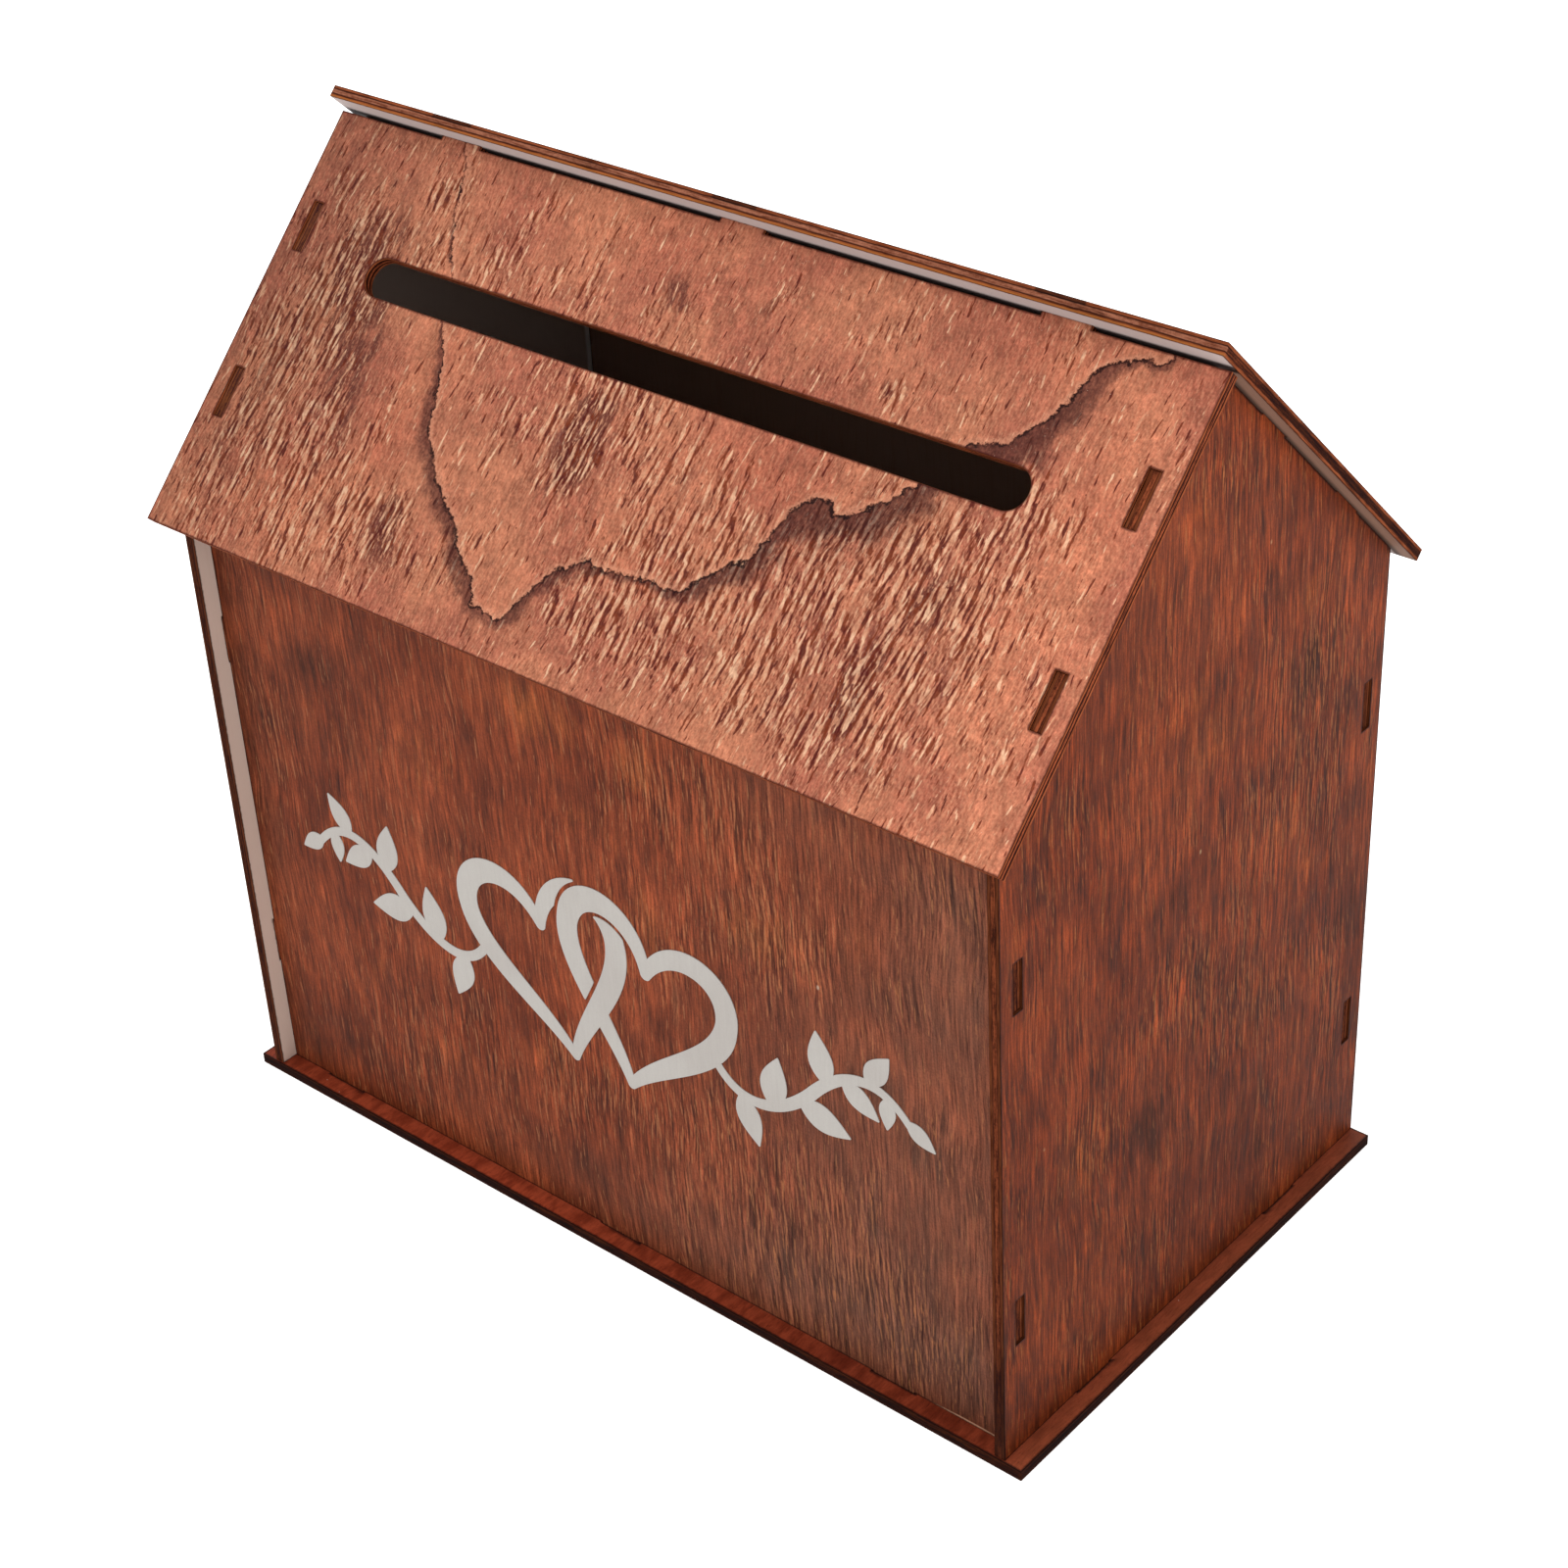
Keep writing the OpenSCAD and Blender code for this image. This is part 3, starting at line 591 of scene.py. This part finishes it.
def cut_edge(name, darker=1.0, tab_marks=False, burn=(.5, .66), foot=False, ply=1.0, core_tone=1.0, lines=.8, tabs=None):
    """Laser-cut edge of three-ply board: outer plies toasted orange-brown, the core end-on and charred."""
    g = Graph(name)
    pc = g.attr("pc")
    u, v, w = g.sep(pc)
    uneven = g.sub(g.noise(g.vmul(pc, (.3, .3, .5)), 1, 4, .6), .5)
    d = g.add(w, g.mul(uneven, .4))
    core = g.mul(g.ramp(d, .8, .95), g.ramp(d, 2.2, 2.05))
    reach = .38 if lines >= 1 else .24
    glue = g.math("MAXIMUM", g.ramp(g.math("ABSOLUTE", g.sub(d, .87)), reach, .1), g.ramp(g.math("ABSOLUTE", g.sub(d, 2.13)), reach, .1))
    grain = g.noise(g.vmul(pc, (.16, .16, 3.2)), 1, 5, .68)
    k = darker * ply
    outer = g.mix(g.ramp(grain, .36, .64), rgb(108 * k, 52 * k, 31 * k, LIGHT, .003), rgb(160 * k, 87 * k, 54 * k, LIGHT, .003))
    c = darker * core_tone
    streak = g.noise(g.vmul(pc, (.12, .12, 2.2)), 1, 5, .7)
    mottle = g.noise(g.vmul(pc, (1.1, 1.1, 1.8)), 1, 5, .72)
    mixed = g.add(g.mul(streak, .7), g.mul(mottle, .3))
    inner = g.mix(g.ramp(mixed, .4, .6), rgb(54 * c, 27 * c, 20 * c, LIGHT, .003), rgb(134 * c, 68 * c, 42 * c, LIGHT, .003))
    if tab_marks:
        inner = g.mix(g.ramp(v, 424.2, 424.7), inner, g.mix(g.ramp(mixed, .38, .62), rgb(104, 55, 38, LIGHT, .003), rgb(164, 106, 82, LIGHT, .003)))
    colour = g.mix(core, outer, inner)
    colour = g.mix(g.mul(glue, lines), colour, rgb(34, 15, 10, LIGHT, .003))
    char = g.noise(g.vmul(pc, (.035, .035, .2)), 1, 5, .65)
    if foot:
        char = g.add(char, g.ramp(v, 122, 92, True, (-.06, .22)))
        outer_dark = g.ramp(v, 118, 92, True, (0, .5))
    colour = g.mix(g.mul(g.ramp(char, burn[0], burn[1]), .74), colour, g.mix(g.ramp(mixed, .42, .58), rgb(36, 18, 11, LIGHT, .003), rgb(74, 38, 21, LIGHT, .003)))
    if foot:
        colour = g.mix(outer_dark, colour, rgb(30, 16, 11, LIGHT, .002))
    if tab_marks:
        slope = g.ramp(v, 424.7, 424.2)
        colour = g.mix(g.mul(g.mul(core, slope), g.ramp(v, 420, 398, True, (.3, .94))), colour, g.mix(g.ramp(mixed, .42, .62), rgb(34, 16, 11, LIGHT, .002), rgb(66, 32, 19, LIGHT, .002)))
        near_tab = g.math("MINIMUM", g.math("ABSOLUTE", g.sub(u, 540)), g.math("ABSOLUTE", g.sub(g.math("ABSOLUTE", g.sub(u, 540)), 89)))
        mark = g.mul(g.ramp(near_tab, 6.9, 6.1), g.ramp(g.add(w, g.mul(uneven, .4)), 1.25, .9))
        colour = g.mix(g.mul(mark, .7), colour, rgb(38, 19, 13))
        gold = g.mul(g.ramp(w, 2.4, 2.6), g.ramp(v, 424.2, 424.7))
        colour = g.mix(g.mul(gold, .4), colour, rgb(186, 118, 62))
    if tabs:
        # the tab ends in the roof slots are made lighter
        colour = g.mix(g.ramp(v, tabs[0], tabs[0] + 1), colour, g.vmul(colour, tabs[1]))
    rim = g.math("MAXIMUM", g.ramp(w, .2, .06), g.ramp(w, 2.86, 2.96))
    colour = g.mix(g.mul(rim, .7), colour, rgb(36, 18, 12))
    height = g.add(g.mul(grain, .5), g.mul(mottle, .5))
    return g.finish(colour, g.ramp(mottle, .3, .7, False, (.6, .8)), g.bump(height, .00012, .6), .015)


def stained_face(name):
    g = Graph(name)
    pc = g.attr("pc")
    u0, v0, w = g.sep(pc)
    dark, rough, warm = g.sep(g.attr("patch"))
    near, painted_sheen, painted_light_shade = g.sep(g.attr("rim"))
    broad = g.noise(g.vmul(pc, (.03, .02, 0)), 1, 3)
    u = g.add(u0, g.mul(g.sub(broad, .5), 8))
    mid = g.noise(g.vec(g.mul(u, .3), g.mul(v0, .12), 3.0), 1, 4, .6)
    colour = g.mix(g.ramp(mid, .35, .66), rgb(104, 42, 27, LIGHT, .003), rgb(136, 59, 38, LIGHT, .003))
    colour = g.mix(g.mul(warm, .6), colour, rgb(128, 70, 48, LIGHT, .004))
    colour = g.mix(g.mul(dark, .4), colour, rgb(72, 30, 22))
    hair = g.noise(g.vec(g.mul(u, 2.2), g.mul(v0, .2), 2.0), 1, 3, .65)
    colour = g.scale_colour(colour, g.ramp(hair, .25, .75, False, (.78, 1.2)))
    pores = g.noise(g.vec(g.mul(u, 3.2), g.mul(v0, .4), 7.0), 1, 2, .5)
    colour = g.mix(g.mul(g.ramp(pores, .6, .74), .5), colour, rgb(52, 20, 15))
    cell, tint = g.cells(g.vec(g.mul(u0, .3), g.mul(v0, .3), 5.0), 1)
    fleck = g.mul(g.ramp(cell, .06, .02), g.ramp(g.sep(tint)[0], .8, .86))
    colour = g.mix(g.mul(fleck, .6), colour, rgb(206, 176, 158))
    dust = g.noise(g.vmul(pc, (2.4, 2.0, 0)), 1, 3, .7)
    colour = g.scale_colour(colour, g.ramp(dust, .28, .72, False, (.88, 1.12)))
    # painted light and shade: the base's right and front strips drawn lighter
    colour = g.scale_colour(colour, painted_light_shade)
    colour = worn_rim(g, colour, pc, near, rgb(34, 16, 12), .7, .85)
    return g.finish(colour, g.ramp(mid, .3, .7, False, (.46, .6)), g.bump(hair, .00006, .5), .08)


FILM_TONE = 177


def film(name):
    g = Graph(name)
    n = g.tree.nodes.new("ShaderNodeTexCoord")
    p = g.vmul(n.outputs["Object"], (1000, 1000, 1000))
    soft = g.noise(g.vmul(p, (.05, .05, .05)), 1, 3)
    streak = g.noise(g.vmul(p, (1.6, 1, .12)), 1, 3, .6)
    dust = g.noise(g.vmul(p, (3, 3, 3)), 1, 3, .7)
    colour = g.mix(g.ramp(soft, .35, .65), rgb(FILM_TONE, FILM_TONE - 6, FILM_TONE - 12), rgb(FILM_TONE + 5, FILM_TONE, FILM_TONE - 6))
    colour = g.scale_colour(colour, g.ramp(streak, .3, .7, False, (.965, 1.03)))
    colour = g.scale_colour(colour, g.ramp(dust, .28, .72, False, (.96, 1.03)))
    return g.finish(colour, g.ramp(streak, .3, .7, False, (.45, .55)), g.bump(g.add(streak, g.mul(dust, .3)), .00004, .5), .15)


ROOF, WALL, BARE = roof_print("printed_roof"), wall_print("printed_wall"), bare_veneer("bare_veneer")
SIDE = wall_print("printed_side_wall", (.99, .86, .6), 1.3)
BARE_ROOF = bare_veneer("bare_veneer_roof", rgb(190, 182, 184), .75, .8)
BARE_REAR = bare_veneer("bare_veneer_rear_roof", rgb(192, 182, 182), .75, .8, None, True)
# the left wall's inner face: its tint is lightened as painted light for the shade it lies in
BARE_WALL_PAINTED_LIGHT = bare_veneer("bare_veneer_wall_painted_light", rgb(213, 187, 173), .88, .3, 1833.3)
# the inside faces: a darker, browner tint as painted shade
BARE_INSIDE_PAINTED_SHADE = bare_veneer("bare_veneer_inside_painted_shade", rgb(158, 110, 86), .75, 1.2)
EDGE, EDGE_BASE = cut_edge("cut_edge", .83), cut_edge("cut_edge_base", .34)
EDGE_RIDGE, EDGE_ROOF = cut_edge("cut_edge_ridge", .94, True, (.54, .68)), cut_edge("cut_edge_roof", .86, False, (.57, .72), False, 1.26, 1.5, 1.0)
EDGE_WALL, EDGE_LEFT = cut_edge("cut_edge_wall", .66, False, (.58, .7), True, .98, 1.45, .45, (248, (1.6, 1.65, 1.75))), cut_edge("cut_edge_left", .6, tabs=(908, (2.4, 3.0, 3.8)))
STAIN = stained_face("stained_base")
FILM = film("motif_film")

# ---------------------------------------------------------------- pieces
NEAR_EDGES = {
    "front_roof_panel": ([-129.4, -128.6, 128.6, 129.4], [-5.8, -5, 103.6, 104.4]),
    "rear_roof_panel": ([-129.4, -128.6, 128.6, 129.4], [-4.4, -3.6, 113, 114]),
    "right_gable_wall": ([-74.4, -73.6, 73.6, 74.4], [3.8, 4.6]),
    "left_gable_wall": ([-74.4, -73.6, 73.6, 74.4], [3.8, 4.6]),
    "front_panel": ([-121.4, -120.6, 120.6, 121.4], [3.8, 4.6, 170, 171]),
    "back_panel": ([-121.4, -120.6, 120.6, 121.4], [3.8, 4.6, 170, 171]),
    "base_plate": ([-129.2, -128.4, 128.4, 129.2], [-74.7, -73.9, 73.9, 74.7]),
}
STEP = {"front_roof_panel": 1.6, "rear_roof_panel": 2.6, "base_plate": 6.0}
FACES = {
    "front_roof_panel": (ROOF, BARE_ROOF, EDGE_ROOF),
    "rear_roof_panel": (ROOF, BARE_REAR, EDGE_RIDGE),
    "right_gable_wall": (SIDE, BARE_INSIDE_PAINTED_SHADE, EDGE_WALL),
    "left_gable_wall": (SIDE, BARE_WALL_PAINTED_LIGHT, EDGE_LEFT),
    "front_panel": (WALL, BARE_INSIDE_PAINTED_SHADE, EDGE),
    "back_panel": (WALL, BARE_INSIDE_PAINTED_SHADE, EDGE),
    "base_plate": (STAIN, BARE, EDGE_BASE),
}
for node in BOARDS:
    piece = board(node, STEP.get(node, 4.0), NEAR_EDGES[node])
    for material in FACES[node]:
        piece.data.materials.append(material)

# the motif keeps its CAD solid, which is a thin flat mark, with its own finish
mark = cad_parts["front_motif"]
for s in mark.material_slots:
    s.material = FILM
if not mark.material_slots:
    mark.data.materials.append(FILM)

# ---------------------------------------------------------------- set
floor_mesh = bpy.data.meshes.new("floor")
bm = bmesh.new()
bmesh.ops.create_grid(bm, x_segments=1, y_segments=1, size=6)
bm.to_mesh(floor_mesh)
bm.free()
floor = bpy.data.objects.new("floor", floor_mesh)
floor.location.z = -.0002
bpy.context.scene.collection.objects.link(floor)
fg = Graph("floor")
fg.bsdf.inputs["Emission Color"].default_value = (1, 1, 1, 1)
fg.bsdf.inputs["Emission Strength"].default_value = .5  # a back-lit white table, which keeps the shadows open
floor_mesh.materials.append(fg.finish((.92, .92, .92, 1), .9, None, .1))

world = bpy.data.worlds.new("studio")
bpy.context.scene.world = world
world.use_nodes = True
back = world.node_tree.nodes["Background"]
back.inputs[0].default_value = (1, 1, 1, 1)
back.inputs[1].default_value = 1.2


def area(name, at, to, size, power):
    data = bpy.data.lights.new(name, "AREA")
    data.shape, data.size, data.energy = "DISK", size, power
    o = bpy.data.objects.new(name, data)
    o.location = at
    o.rotation_mode = "QUATERNION"
    o.rotation_quaternion = (Vector(to) - Vector(at)).to_track_quat("-Z", "Y")
    bpy.context.scene.collection.objects.link(o)
    return o


area("key", (-.5, -.9, 1.9), (0, 0, .12), 1.6, 7)
area("fill", (1.5, -.5, 1.0), (0, 0, .12), 1.4, 2.5)

# ---------------------------------------------------------------- camera
az, el, roll = math.radians(41.785), math.radians(33.516), math.radians(-3.124)
back_v = Vector((math.sin(az) * math.cos(el), -math.cos(az) * math.cos(el), math.sin(el)))
right_v = (-back_v).cross(Vector((0, 0, 1))).normalized()
up_v = right_v.cross(-back_v)
r2 = right_v * math.cos(roll) + up_v * math.sin(roll)
u2 = -right_v * math.sin(roll) + up_v * math.cos(roll)
cam_data = bpy.data.cameras.new("camera")
cam_data.sensor_width = 36
cam_data.lens = 71.153
cam_data.shift_x, cam_data.shift_y = -.0071, .0180
cam_data.clip_start, cam_data.clip_end = .02, 40
cam = bpy.data.objects.new("camera", cam_data)
bpy.context.scene.collection.objects.link(cam)
m = Matrix((r2, u2, back_v)).transposed().to_4x4()
m.translation = Vector((.436021, -.483268, .524196))
cam.matrix_world = m
bpy.context.scene.camera = cam
bpy.context.scene.view_settings.view_transform = "Standard"
bpy.context.scene.view_settings.look = "None"

bpy.context.view_layer.update()
